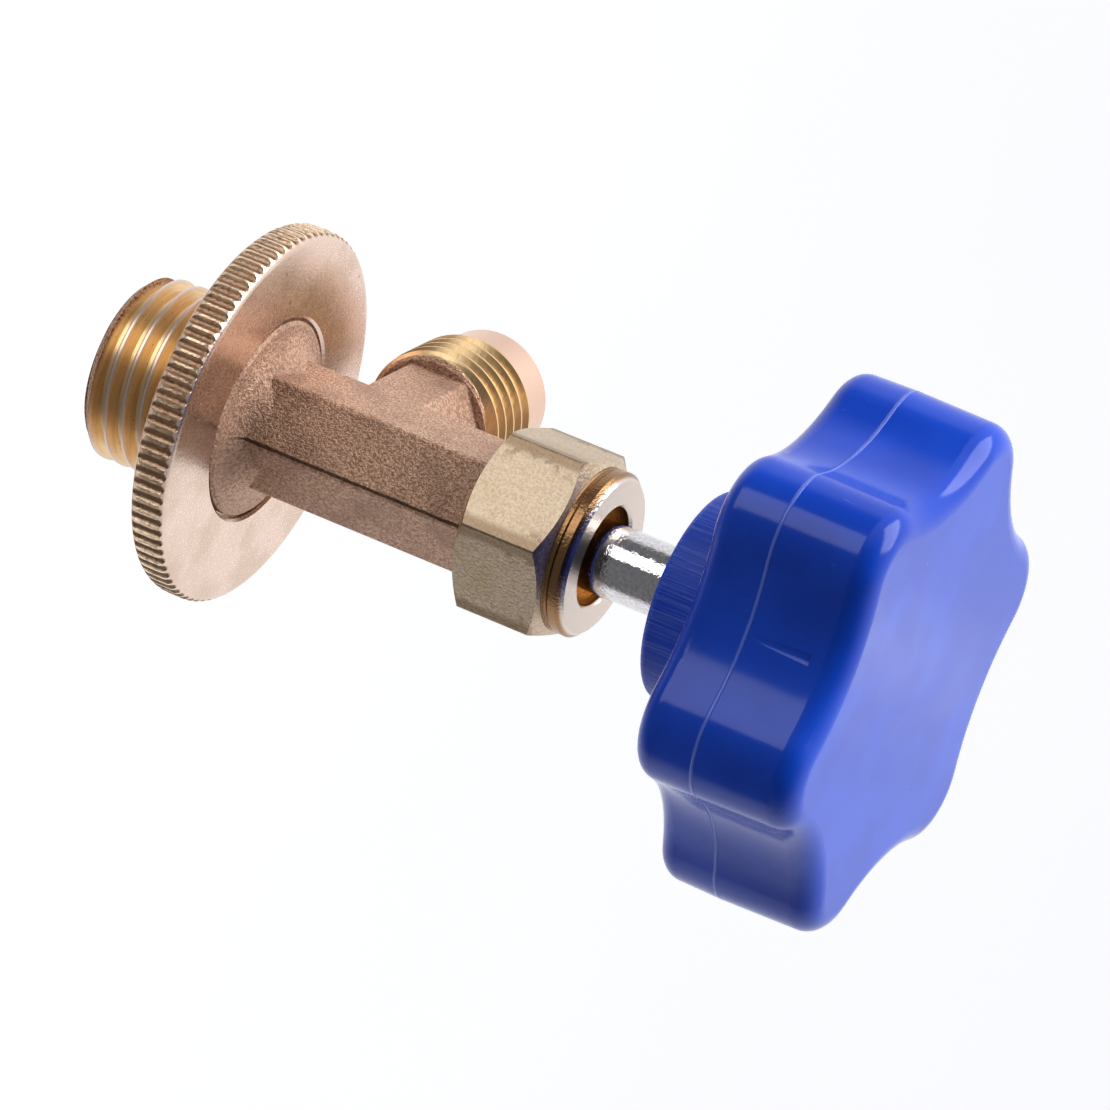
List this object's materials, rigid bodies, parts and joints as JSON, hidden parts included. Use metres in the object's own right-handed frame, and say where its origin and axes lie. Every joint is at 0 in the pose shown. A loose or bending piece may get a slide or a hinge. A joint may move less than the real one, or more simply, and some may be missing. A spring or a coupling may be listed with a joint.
{
  "type": "refrigerant can tap valve",
  "caption": "Brass can-piercing valve: threaded can socket with knurled plate nut, side flare hose port, packed chrome stem and blue lobed handwheel.",
  "frame": {"origin": "centre of the body's can end face, on the stem axis", "axes": "+Z along the stem from the can end to the handwheel; +X along the hose port, away from the body"},
  "size_m": [0.0419, 0.0376, 0.0669],
  "materials": {
    "forged_brass": "forged, sandy",
    "turned_brass": "machined",
    "plate_brass": "polished",
    "chrome": "plated, slightly pebbled",
    "needle_steel": "ground",
    "gasket_rubber": "moulded",
    "packing_ptfe": "cut rings",
    "blue_plastic": "glossy"
  },
  "bodies": {
    "body": {"valve_body": "forged_brass", "can_gasket": "gasket_rubber", "packing_washer": "turned_brass", "packing_rings": "packing_ptfe", "gland": "turned_brass", "packing_nut": "turned_brass"},
    "plate": {"plate_nut": "plate_brass"},
    "needle": {"piercing_needle": "needle_steel"},
    "spindle": {"stem": "chrome", "handwheel": "blue_plastic"}
  },
  "joints": [
    {"name": "plate_travel", "type": "slide", "parent": "body", "child": "plate", "axis": [0, 0, -1], "range_m": [0, 0.009]},
    {"name": "stem_travel", "type": "slide", "parent": "body", "child": "needle", "axis": [0, 0, 1], "range_m": [-0.006, 0.001]},
    {"name": "stem_turn", "type": "hinge", "parent": "needle", "child": "spindle", "pos_m": [0, 0, 0.03], "axis": [0, 0, 1], "range_deg": [-2160, 360]}
  ],
  "couplings": [
    {"joint": "stem_travel", "follows": "stem_turn", "m_per_rad": 0.00015915}
  ]
}
